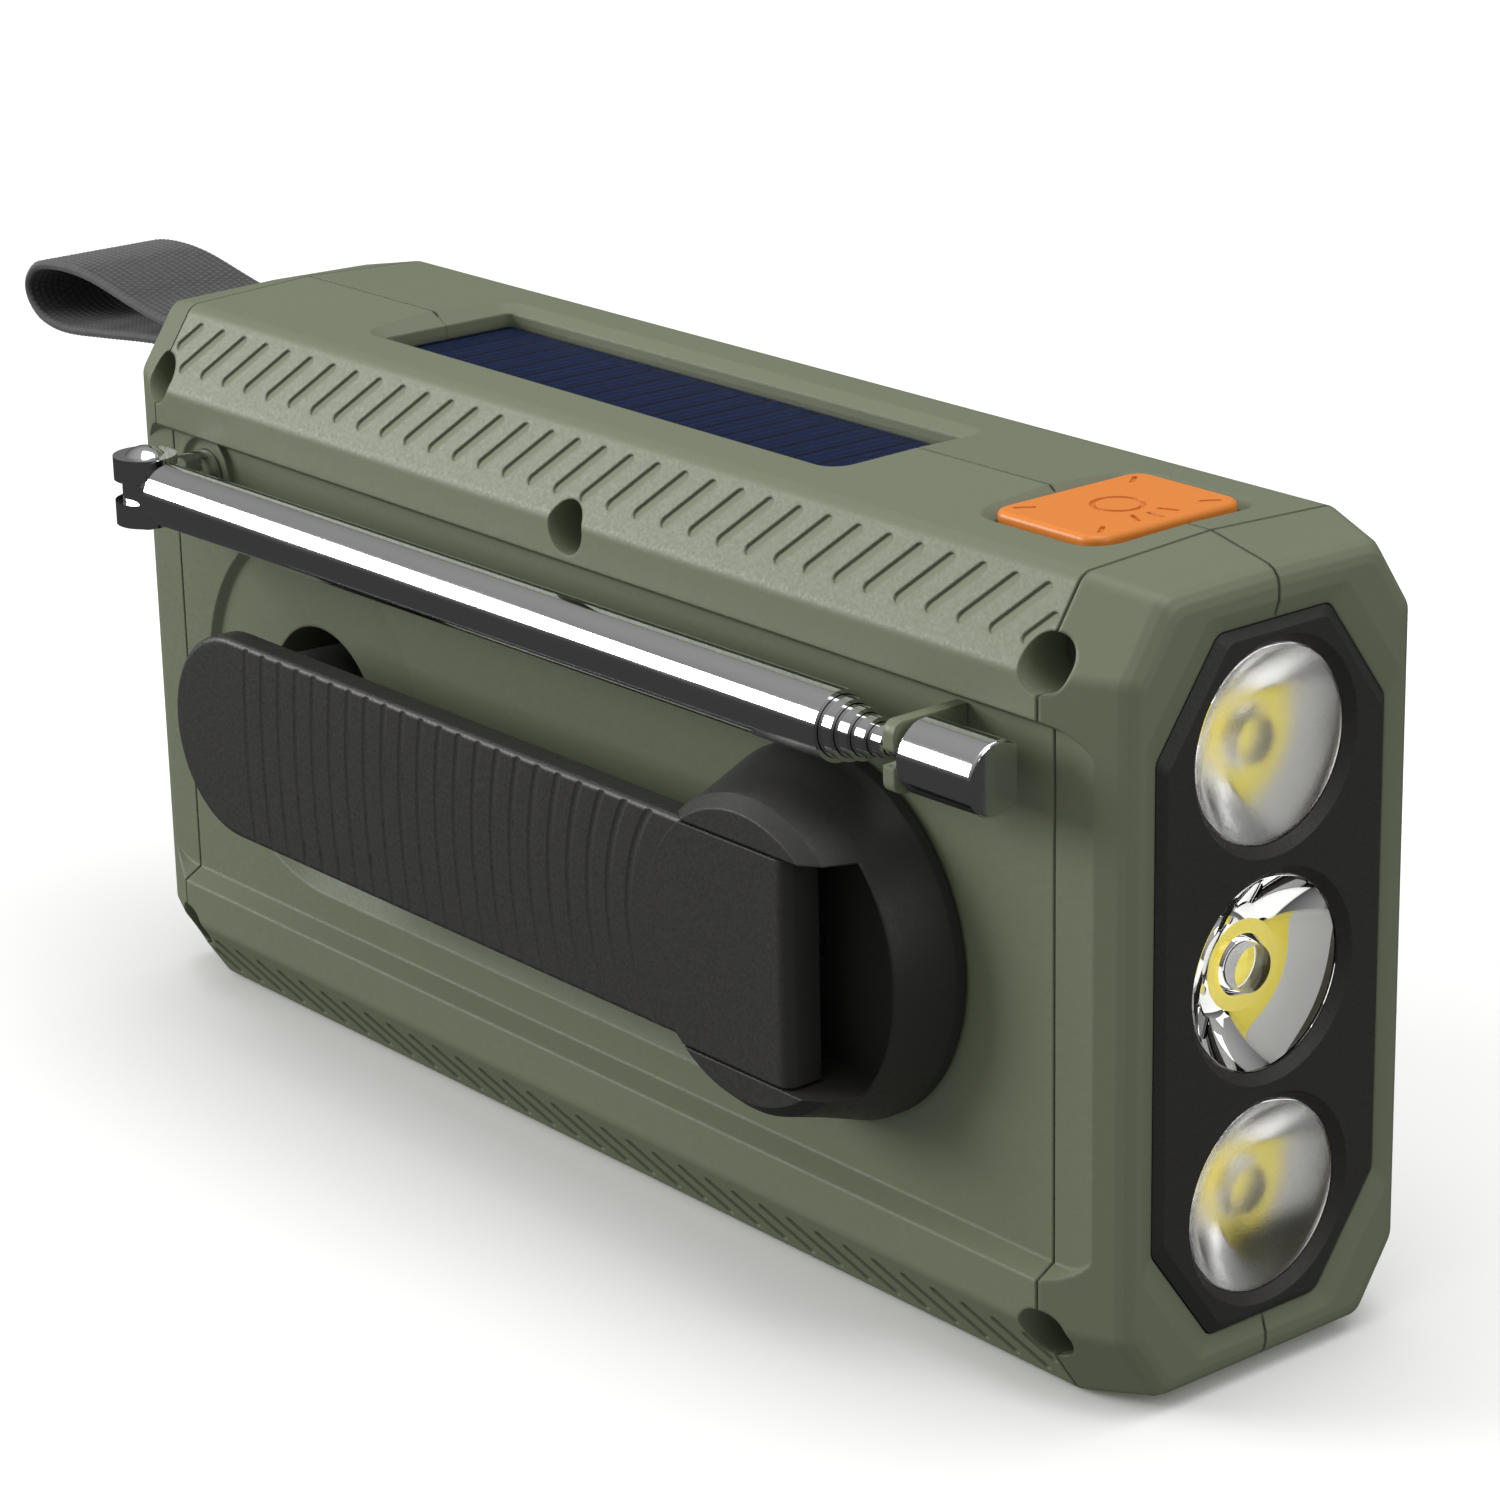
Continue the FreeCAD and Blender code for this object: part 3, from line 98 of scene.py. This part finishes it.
# ---------------------------------------------------------------- material tools
class Shader:
    """A node material with one Principled shader and a chain of bumps."""

    def __init__(self, name, color, rough, metallic=0.0, **sockets):
        self.mat = bpy.data.materials.new(name)
        self.mat.use_nodes = True
        self.tree = self.mat.node_tree
        self.bsdf = self.tree.nodes["Principled BSDF"]
        self.set("Base Color", color)
        self.set("Roughness", rough)
        self.set("Metallic", metallic)
        for key, value in sockets.items():
            self.set(key.replace("_", " "), value)
        self.where = self.node("ShaderNodeTexCoord").outputs["Object"]
        self.last_bump = None

    def set(self, socket, value):
        self.bsdf.inputs[socket].default_value = value

    def node(self, kind, **values):
        made = self.tree.nodes.new(kind)
        for key, value in values.items():
            setattr(made, key, value)
        return made

    def link(self, a, b):
        self.tree.links.new(a, b)

    def noise(self, scale, detail=3.0, stretch=(1, 1, 1), source=None):
        at = self.node("ShaderNodeMapping")
        at.inputs["Scale"].default_value = stretch
        self.link(source or self.where, at.inputs["Vector"])
        made = self.node("ShaderNodeTexNoise")
        made.inputs["Scale"].default_value = scale
        made.inputs["Detail"].default_value = detail
        self.link(at.outputs["Vector"], made.inputs["Vector"])
        return made.outputs["Fac"]

    def ramp(self, source, low, high, a=0.0, b=1.0):
        made = self.node("ShaderNodeMapRange")
        made.inputs["From Min"].default_value = a
        made.inputs["From Max"].default_value = b
        made.inputs["To Min"].default_value = low
        made.inputs["To Max"].default_value = high
        self.link(source, made.inputs["Value"])
        return made.outputs["Result"]

    def mix(self, factor, a, b, socket="Base Color"):
        made = self.node("ShaderNodeMix", data_type="RGBA")
        self.link(factor, made.inputs["Factor"])
        for slot, value in (("A", a), ("B", b)):
            target = [i for i in made.inputs if i.name == slot and i.type == "RGBA"][0]
            if isinstance(value, tuple):
                target.default_value = value
            else:
                self.link(value, target)
        result = [o for o in made.outputs if o.type == "RGBA"][0]
        if socket:
            self.link(result, self.bsdf.inputs[socket])
        return result

    def math(self, operation, a, b=None):
        made = self.node("ShaderNodeMath", operation=operation)
        for slot, value in zip(made.inputs, (a, b)):
            if value is None:
                continue
            if isinstance(value, (int, float)):
                slot.default_value = value
            else:
                self.link(value, slot)
        return made.outputs[0]

    def bump(self, height, strength, distance):
        made = self.node("ShaderNodeBump")
        made.inputs["Strength"].default_value = strength
        made.inputs["Distance"].default_value = distance
        self.link(height, made.inputs["Height"])
        if self.last_bump:
            self.link(self.last_bump, made.inputs["Normal"])
        self.last_bump = made.outputs["Normal"]
        self.link(self.last_bump, self.bsdf.inputs["Normal"])

    def soften(self, radius):
        """Rounds the shading of sharp edges by this radius."""
        made = self.node("ShaderNodeBevel", samples=4)
        made.inputs["Radius"].default_value = radius
        self.last_bump = made.outputs["Normal"]
        self.link(self.last_bump, self.bsdf.inputs["Normal"])


def tinted(color, by):
    return tuple(min(1.0, c * by) for c in color[:3]) + (1.0,)


# ---------------------------------------------------------------- materials
def moulded(name, color, rough, grain=0.25, soft=0.0, tone=0.10):
    """Moulded plastic with a fine spark-eroded texture and a faint change of tone."""
    s = Shader(name, color, rough)
    if soft:
        s.soften(soft)
    s.mix(s.noise(26, 2), tinted(color, 1 - tone), tinted(color, 1 + tone))
    fine = s.noise(2600, 3)
    s.bump(s.noise(1100, 2), grain * 0.5, 0.00006)
    s.bump(fine, grain, 0.00005)
    s.link(s.ramp(fine, rough - 0.08, rough + 0.08, 0.3, 0.7), s.bsdf.inputs["Roughness"])
    return s.mat


def polished(name, color=(0.80, 0.80, 0.81, 1.0), rough=0.06):
    """Bright chrome plate with faint drawing marks along the tube."""
    s = Shader(name, color, rough, 1.0)
    streaks = s.noise(900, 2, (0.03, 1, 1))
    s.link(s.ramp(streaks, rough * 0.6, rough * 1.7, 0.35, 0.65), s.bsdf.inputs["Roughness"])
    s.mix(s.noise(60, 2), tinted(color, 0.95), tinted(color, 1.0))
    s.bump(streaks, 0.03, 0.00002)
    return s.mat


def turned_metal(name, color, rough):
    """Turned or stamped metal with fine machining marks."""
    s = Shader(name, color, rough, 1.0)
    marks = s.noise(1400, 2, (1, 0.15, 1))
    s.link(s.ramp(marks, rough * 0.7, rough * 1.3, 0.3, 0.7), s.bsdf.inputs["Roughness"])
    s.mix(s.noise(200, 3), tinted(color, 0.85), tinted(color, 1.05))
    s.bump(marks, 0.15, 0.00002)
    return s.mat


def thin_window(name):
    """A thin clear sheet: mostly see-through, with a faint gloss and scuffs."""
    s = Shader(name, (0.02, 0.03, 0.04, 1.0), 0.08, Specular_IOR_Level=0.25, Alpha=0.07)
    scuffs = s.noise(150, 4, (1, 0.3, 1))
    s.link(s.ramp(scuffs, 0.05, 0.14, 0.3, 0.7), s.bsdf.inputs["Roughness"])
    s.bump(s.noise(900, 2), 0.02, 0.00002)
    return s.mat


def clear_plastic(name, rough, color=(0.97, 0.97, 0.96, 1.0), frost=0.0, index=1.49):
    s = Shader(name, color, rough, Transmission_Weight=1.0, IOR=index)
    grain = s.noise(3200 if frost else 300, 2)
    s.bump(grain, frost if frost else 0.01, 0.00005)
    s.link(s.ramp(grain, rough * 0.8, rough * 1.2 + 0.004, 0.3, 0.7), s.bsdf.inputs["Roughness"])
    return s.mat


def phosphor():
    # The chips glow faintly: a painted glow standing in for the light that the lens glass keeps
    # from reaching them.
    s = Shader("phosphor", PHOSPHOR, 0.45, Emission_Color=PHOSPHOR, Emission_Strength=0.75)
    s.mix(s.noise(900, 2), tinted(PHOSPHOR, 0.92), tinted(PHOSPHOR, 1.05))
    s.bump(s.noise(2500, 2), 0.1, 0.00003)
    return s.mat


def solar_cells():
    """Dark blue cells: fine lines across the panel, a darker gap every few lines."""
    s = Shader("solar_cells", NAVY, 0.5, Specular_IOR_Level=0.12)
    split = s.node("ShaderNodeSeparateXYZ")
    s.link(s.where, split.inputs[0])
    x = split.outputs["X"]
    fine = s.math("PINGPONG", s.math("MULTIPLY", x, 1 / (1.3 * MM)), 0.5)
    band = s.math("FRACT", s.math("MULTIPLY", x, 1 / (3.9 * MM)))
    line = s.ramp(fine, 0.0, 1.0, 0.08, 0.20)
    gap = s.math("GREATER_THAN", band, 0.86)
    blue = s.mix(s.noise(300, 3, (1, 0.2, 1)), NAVY, tinted(NAVY, 1.5), None)
    lined = s.mix(line, tinted(NAVY, 0.35), blue, None)
    s.mix(gap, lined, tinted(NAVY, 0.15))
    return s.mat


def led_board():
    """White board with a round yellow coat about each LED. Board and coat also glow faintly:
    painted light standing in for the light that the lens glass keeps from reaching them.
    """
    s = Shader("led_board", BOARD_WHITE, 0.5, Emission_Strength=0.6)
    low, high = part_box("middle_lens")
    middle = (Vector(low) + Vector(high)) / 2
    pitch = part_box("upper_lens")[1][2] - high[2]
    split = s.node("ShaderNodeSeparateXYZ")
    s.link(s.where, split.inputs[0])
    row = s.math("DIVIDE", s.math("SUBTRACT", split.outputs["Z"], middle.z), pitch)
    off = s.math("SUBTRACT", row, s.math("ROUND", row))
    up = s.math("POWER", s.math("MULTIPLY", off, pitch), 2.0)
    across = s.math("POWER", split.outputs["Y"], 2.0)
    far = s.math("SQRT", s.math("ADD", up, across))
    coat = s.math("LESS_THAN", far, PHOSPHOR_RADIUS)
    yellow = s.mix(s.noise(900, 2), tinted(PHOSPHOR, 0.9), tinted(PHOSPHOR, 1.05), None)
    paint = s.mix(coat, BOARD_WHITE, yellow)
    # The board's colour is also its emission: a painted glow on the board and its coat.
    s.link(paint, s.bsdf.inputs["Emission Color"])
    s.bump(s.noise(2500, 2), 0.15, 0.00003)
    return s.mat


def circuit_board():
    s = Shader("circuit_board", PCB_GREEN, 0.35)
    tracks = s.node("ShaderNodeTexBrick")
    tracks.inputs["Scale"].default_value = 260
    s.link(s.where, tracks.inputs["Vector"])
    s.mix(tracks.outputs["Fac"], PCB_GREEN, tinted(PCB_GREEN, 1.8))
    s.bump(tracks.outputs["Fac"], 0.2, 0.00003)
    return s.mat


def ports_finish():
    """Green board with the plated steel shells of the sockets standing in front of it."""
    s = Shader("ports_finish", PCB_GREEN, 0.35)
    board_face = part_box("ports_board")[1][0] - BOARD_THICKNESS
    split = s.node("ShaderNodeSeparateXYZ")
    s.link(s.where, split.inputs[0])
    shell = s.math("LESS_THAN", split.outputs["X"], board_face - 0.05 * MM)
    grain = s.noise(900, 2, (1, 0.2, 1))
    steel = s.mix(grain, (0.50, 0.50, 0.51, 1.0), (0.62, 0.62, 0.63, 1.0), None)
    tracks = s.node("ShaderNodeTexBrick")
    tracks.inputs["Scale"].default_value = 260
    s.link(s.where, tracks.inputs["Vector"])
    green = s.mix(tracks.outputs["Fac"], PCB_GREEN, tinted(PCB_GREEN, 1.8), None)
    s.mix(shell, green, steel)
    s.link(shell, s.bsdf.inputs["Metallic"])
    s.bump(grain, 0.1, 0.00002)
    return s.mat


def copper_windings():
    s = Shader("copper_windings", (0.55, 0.20, 0.07, 1.0), 0.3, 0.9)
    wave = s.node("ShaderNodeTexWave", wave_type="RINGS", rings_direction="Y")
    wave.inputs["Scale"].default_value = 600
    s.link(s.where, wave.inputs["Vector"])
    s.mix(wave.outputs["Fac"], (0.25, 0.08, 0.03, 1.0), (0.65, 0.26, 0.10, 1.0))
    s.bump(wave.outputs["Fac"], 0.5, 0.0001)
    return s.mat


def webbing():
    """Nylon tape: fine yarns along and across each raised knot, with painted shade in the creases
    between knots and a painted highlight on the raised knot tops.
    """
    s = Shader("webbing", WEBBING, 0.75, Sheen_Weight=0.25, Sheen_Roughness=0.4)
    uv = s.node("ShaderNodeUVMap", uv_map="tape").outputs["UV"]
    along = s.noise(2400, 2, (0.2, 1, 1), uv)
    across = s.noise(2400, 2, (1, 0.2, 1), uv)
    yarn = s.math("ADD", s.math("MULTIPLY", along, 0.6), s.math("MULTIPLY", across, 0.4))
    pointed = s.node("ShaderNodeNewGeometry").outputs["Pointiness"]
    # Pointiness picks the creases for painted shade and the raised knot tops for a painted
    # highlight; the yarn noise varies that highlight.
    deep = s.ramp(pointed, 0.0, 1.0, 0.42, 0.56)
    light = s.mix(yarn, tinted(WEBBING, 1.3), tinted(WEBBING, 6.0), None)
    s.mix(deep, tinted(WEBBING, 0.35), light)
    s.bump(yarn, 0.35, 0.00004)
    return s.mat


# ---------------------------------------------------------------- assign to the CAD nodes
def dress(material, *names):
    for name in names:
        mesh = nodes[name].data
        mesh.materials.clear()
        mesh.materials.append(material)


def dress_all():
    """A material for every CAD node that stays."""
    case = moulded("olive_case", OLIVE, 0.50, 0.30, 0.45 * MM, 0.03)
    dress(case, "crank_side_shell", "front_shell", "lamp_cap_crank_half", "lamp_cap_front_half",
          "strap_cap_crank_half", "strap_cap_front_half", "antenna_clip")
    dark = moulded("charcoal_plastic", CHARCOAL, 0.48, 0.25, 0.25 * MM, 0.05)
    dress(dark, "crank_hub", "crank_arm", "crank_knob", "tuning_knob", "volume_knob")
    dress(moulded("bezel_plastic", CHARCOAL, 0.55, 0.7, 0.15 * MM), "lamp_bezel")
    dress(moulded("orange_plastic", ORANGE, 0.38, 0.15, 0.2 * MM, 0.03), "light_button", "key_sos")
    dress(moulded("black_plastic", (0.02, 0.02, 0.02, 1), 0.45), "key_band", "battery_holder",
          "display_module", "speaker_frame")
    dress(moulded("rubber", (0.025, 0.025, 0.024, 1), 0.75, 0.4, 0.2 * MM), "port_cover")
    dress(moulded("acetal", (0.75, 0.74, 0.68, 1), 0.4), "drive_gear", "idler_gear",
          "gearbox_plate")
    dress(moulded("battery_sleeve", (0.03, 0.12, 0.40, 1), 0.25), "battery_cell")
    dress(moulded("cone_paper", (0.03, 0.03, 0.032, 1), 0.85, 0.8), "speaker_cone")
    dress(polished("chrome"), "antenna_post", "antenna_rivet", "antenna_tube",
          "antenna_section_2", "antenna_section_3", "antenna_section_4", "antenna_section_5",
          "antenna_tip")
    dress(turned_metal("zinc_steel", (0.52, 0.52, 0.53, 1), 0.32), "case_screws", "hub_screw",
          "hinge_pin", "cover_pin", "strap_peg", "idler_axle", "crank_shaft", "knob_axle",
          "generator_can", "speaker_magnet", "rotor")
    dress(turned_metal("brass", (0.75, 0.52, 0.22, 1), 0.3), "crank_bush", "rotor_pinion")
    dress(circuit_board(), "main_board", "button_board")
    dress(ports_finish(), "ports_board")
    dress(led_board(), "led_board")
    dress(copper_windings(), "stator_coils")
    dress(phosphor(), "led_chips")
    dress(solar_cells(), "solar_panel")
    dress(thin_window("clear_cover"), "solar_cover")
    dress(clear_plastic("smoked_window", 0.05, (0.25, 0.26, 0.27, 1)), "display_window")


# ---------------------------------------------------------------- new pieces
def add_piece(name, build, materials, body):
    """A mesh object from a bmesh, riding on a body."""
    mesh = bpy.data.meshes.new(name)
    build.normal_update()
    build.to_mesh(mesh)
    build.free()
    for material in materials:
        mesh.materials.append(material)
    mesh.polygons.foreach_set("use_smooth", [True] * len(mesh.polygons))
    mesh.set_sharp_from_angle(angle=math.radians(32))
    piece = bpy.data.objects.new(name, mesh)
    bpy.context.scene.collection.objects.link(piece)
    if body:
        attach(piece, body)
    return piece


def lens(row, clear, frosted):
    """A solid lens: flat face, deep bowl sides and a hollow in its back over the LED."""
    low, high = (Vector(c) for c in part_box(row))
    middle = (low + high) / 2
    face, back, radius = high.x, low.x, (high.y - low.y) / 2
    top = back + HOLLOW_DEPTH
    bands = 6
    profile = [(top, 0.0)]
    profile += [(top - HOLLOW_CROWN * (t / bands) ** 2, HOLLOW_TOP_RADIUS * t / bands)
                for t in range(1, bands + 1)]
    profile += [(back, HOLLOW_RADIUS), (back, LENS_BACK_RADIUS)]
    edge = face - LENS_RIM_HEIGHT
    rows = 32
    for t in range(1, rows + 1):
        share = t / rows
        spread = radius ** 2 - LENS_BACK_RADIUS ** 2
        profile.append((back + (edge - back) * share,
                        math.sqrt(LENS_BACK_RADIUS ** 2 + spread * share)))
    profile += [(face - LENS_EDGE_ROUND, radius), (face, radius - LENS_EDGE_ROUND), (face, 0.0)]
    build = bmesh.new()
    steps = LENS_SEGMENTS
    rings = []
    for x, r in profile:
        if r == 0.0:
            rings.append([build.verts.new((x, middle.y, middle.z))])
            continue
        rings.append([build.verts.new((x, middle.y + r * math.cos(2 * math.pi * n / steps),
                                       middle.z + r * math.sin(2 * math.pi * n / steps)))
                      for n in range(steps)])
    for a, b in zip(rings, rings[1:]):
        for n in range(steps):
            m = (n + 1) % steps
            corners = [a[n % len(a)], b[n % len(b)], b[m % len(b)], a[m % len(a)]]
            made = build.faces.new(list(dict.fromkeys(corners)))
            made.material_index = 1 if b is rings[-1] else 0
    bmesh.ops.recalc_face_normals(build, faces=build.faces)
    piece = add_piece("solid_" + row, build, [clear, frosted], "case")
    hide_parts(row)


def tape_path():
    """Middle line (x, z) of the strap: round the peg, out through the slot and back."""
    low, high = (Vector(c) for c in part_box("strap"))
    peg_low, peg_high = (Vector(c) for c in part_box("strap_peg"))
    peg = (peg_low + peg_high) / 2
    half = 0.65 * MM
    turn = (peg_high.z - peg_low.z) / 2 + half + 0.05 * MM
    z = peg.z
    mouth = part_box("strap_root")[0][0]
    tip = low.x + half
    top, bottom = high.z - half, low.z + half
    upper = [(mouth + 2.0 * MM, z + half + 0.02 * MM), (mouth, z + half + 0.05 * MM),
             (mouth - 4.5 * MM, z + 0.95 * MM), (mouth - 13 * MM, z + 2.0 * MM),
             (mouth - 24 * MM, top - 0.35 * MM), (mouth - 31 * MM, top)]
    nose = [(tip + 3.2 * MM, top - 0.7 * MM), (tip + 0.75 * MM, top - 2.3 * MM),
            (tip, (top + bottom) / 2 - 0.1 * MM), (tip + 0.95 * MM, bottom + 2.0 * MM),
            (tip + 3.6 * MM, bottom + 0.5 * MM)]
    lower = [(mouth - 31 * MM, bottom), (mouth - 22 * MM, bottom + 0.9 * MM),
             (mouth - 13 * MM, z - 1.6 * MM), (mouth - 4.5 * MM, z - 0.85 * MM),
             (mouth, z - half - 0.05 * MM), (mouth + 2.0 * MM, z - half - 0.02 * MM)]
    eye = [(peg.x + turn * math.cos(a), z + turn * math.sin(a))
           for a in (math.radians(d) for d in (-110, -60, 0, 60, 110))]
    return upper + nose + lower + eye


def smooth_loop(points, step):
    """Even points along a closed Catmull-Rom curve."""
    dense = []
    count = len(points)
    for n in range(count):
        p = [Vector(points[(n + k) % count]) for k in (-1, 0, 1, 2)]
        for k in range(24):
            t = k / 24
            dense.append(0.5 * (2 * p[1] + (p[2] - p[0]) * t
                                + (2 * p[0] - 5 * p[1] + 4 * p[2] - p[3]) * t * t
                                + (3 * p[1] - p[0] - 3 * p[2] + p[3]) * t ** 3))
    lengths = [0.0]
    for a, b in zip(dense, dense[1:] + dense[:1]):
        lengths.append(lengths[-1] + (b - a).length)
    total = lengths[-1]
    even = []
    k = 0
    rows = round(total / step)
    for n in range(rows):
        at = total * n / rows
        while lengths[k + 1] < at:
            k += 1
        share = (at - lengths[k]) / (lengths[k + 1] - lengths[k])
        even.append(dense[k].lerp(dense[(k + 1) % len(dense)], share))
    return even, total


def strap_tape(material):
    """The webbing as one woven band, its knots raised on both faces and its edges rounded."""
    low, high = (Vector(c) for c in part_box("strap"))
    step = TAPE_STEP
    path, total = smooth_loop(tape_path(), step)
    rows = len(path)
    width = (high.y - low.y) / 2
    knots = 4 * round(total / KNOT_PITCH / 4)
    columns = TAPE_COLUMNS
    build = bmesh.new()
    layer = build.loops.layers.uv.new("tape")

    def knot(u, v):
        """Height of the weave at u along and v across, in knots."""
        row = math.floor(v)
        return abs(math.sin(math.pi * (u + 0.5 * (row % 2)))
                   * math.sin(math.pi * v)) ** 0.7

    grid = []
    for n in range(rows):
        ahead = path[(n + 1) % rows] - path[n - 1]
        normal = Vector((-ahead.y, ahead.x)).normalized()
        u = knots * n / rows
        section = []
        for side in (1, -1):
            for c in range(columns + 1):
                share = c / columns if side == 1 else 1 - c / columns
                y = width * (2 * share - 1)
                edge = min(1.0, (width - abs(y)) / TAPE_EDGE)
                thick = TAPE_HALF * math.sqrt(max(0.02, edge * (2 - edge)))
                raised = KNOT_RISE * edge * (knot(u, KNOT_ROWS * share) - 0.5)
                at = path[n] + normal * side * (thick + raised)
                section.append((build.verts.new((at.x, y, at.y)), (n * step, y)))
        grid.append(section)
    around = len(grid[0])
    for n in range(rows):
        for c in range(around):
            d = (c + 1) % around
            m = (n + 1) % rows
            corners = [grid[n][c], grid[n][d], grid[m][d], grid[m][c]]
            made = build.faces.new([k[0] for k in corners])
            for loop, (vert, (u, v)) in zip(made.loops, corners):
                u = rows * step if m == 0 and u == 0.0 else u
                loop[layer].uv = (u, v)
    bmesh.ops.recalc_face_normals(build, faces=build.faces)
    piece = add_piece("strap_webbing", build, [material], None)
    piece.data.polygons.foreach_set("use_smooth", [True] * len(piece.data.polygons))
    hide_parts("strap", "strap_root")
    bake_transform(piece)
    return piece


# ---------------------------------------------------------------- stage, lights and camera
def softbox(name, size, power, direction, distance):
    """A square area light in a direction from the radio's middle, facing it."""
    light = bpy.data.lights.new(name, "AREA")
    light.shape = "RECTANGLE"
    light.size, light.size_y = size
    light.energy = power
    lamp = bpy.data.objects.new(name, light)
    toward = Vector(direction).normalized()
    lamp.location = CAMERA_TARGET + toward * distance
    lamp.rotation_euler = toward.to_track_quat("Z", "Y").to_euler()
    bpy.context.scene.collection.objects.link(lamp)
    return lamp


def build_stage():
    mesh = bpy.data.meshes.new("floor")
    reach = 6.0
    mesh.from_pydata([(-reach, -reach, 0), (reach, -reach, 0), (reach, reach, 0),
                      (-reach, reach, 0)], [], [(0, 1, 2, 3)])
    floor = bpy.data.objects.new("floor", mesh)
    floor.location.z = -0.2 * MM
    bpy.context.scene.collection.objects.link(floor)
    s = Shader("floor_paper", BACKDROP, 0.9, Specular_IOR_Level=0.1)
    s.mix(s.noise(3, 1), tinted(BACKDROP, 0.995), BACKDROP)
    mesh.materials.append(s.mat)
    floor.visible_glossy = False
    floor.visible_diffuse = False

    world = bpy.data.worlds.new("studio")
    bpy.context.scene.world = world
    world.use_nodes = True
    background = world.node_tree.nodes["Background"]
    background.inputs["Strength"].default_value = 1.0
    sky = world.node_tree
    where = sky.nodes.new("ShaderNodeTexCoord")
    split = sky.nodes.new("ShaderNodeSeparateXYZ")
    height = sky.nodes.new("ShaderNodeMapRange")
    height.inputs["From Min"].default_value = -1.0
    sky.links.new(where.outputs["Generated"], split.inputs[0])
    sky.links.new(split.outputs["Z"], height.inputs["Value"])
    choose = sky.nodes.new("ShaderNodeMix")
    choose.data_type = "RGBA"
    sky.links.new(sky.nodes.new("ShaderNodeLightPath").outputs["Is Glossy Ray"],
                  choose.inputs["Factor"])
    ends = [i for i in choose.inputs if i.type == "RGBA"]
    for end, greys in zip(ends, (SKY, DARK_ROOM)):
        shades = sky.nodes.new("ShaderNodeValToRGB")
        stops = shades.color_ramp.elements
        stops.new(0.46)
        stops.new(0.52)
        for stop, grey in zip(stops, (greys[0], greys[0], greys[1], greys[2])):
            stop.color = (grey, grey, grey, 1.0)
        sky.links.new(height.outputs["Result"], shades.inputs["Fac"])
        sky.links.new(shades.outputs["Color"], end)
    shown = [o for o in choose.outputs if o.type == "RGBA"][0]
    sky.links.new(shown, background.inputs["Color"])
    softbox("key", (1.5, 1.1), 49.0, (-0.73, -0.61, 0.30), 2.5)
    softbox("top", (1.2, 1.2), 10.5, (0.1, 0.1, 1.0), 1.5)
    softbox("rim", (0.5, 0.9), 2.7, (1.0, 0.25, 0.45), 1.4)


def build_camera():
    data = bpy.data.cameras.new("camera")
    data.lens = CAMERA_LENS
    data.clip_start = 0.01
    camera = bpy.data.objects.new("camera", data)
    level = math.cos(CAMERA_ELEVATION)
    back = Vector((math.sin(CAMERA_AZIMUTH) * level, -math.cos(CAMERA_AZIMUTH) * level,
                   math.sin(CAMERA_ELEVATION)))
    turn = back.to_track_quat("Z", "Y").to_matrix().to_4x4()
    turn = turn @ Matrix.Rotation(CAMERA_ROLL, 4, "Z")
    camera.matrix_world = Matrix.Translation(CAMERA_TARGET + back * CAMERA_DISTANCE) @ turn
    bpy.context.scene.collection.objects.link(camera)
    bpy.context.scene.camera = camera


bpy.context.scene.view_settings.view_transform = "Standard"
dress_all()
strap_tape(webbing())
lens_clear = clear_plastic("clear_lens", 0.015)
lens_frost = clear_plastic("frosted_face", 0.5, frost=0.9)
lens("middle_lens", lens_clear, lens_clear)
for frosted_row in ("upper_lens", "lower_lens"):
    lens(frosted_row, lens_clear, lens_frost)
build_stage()
build_camera()
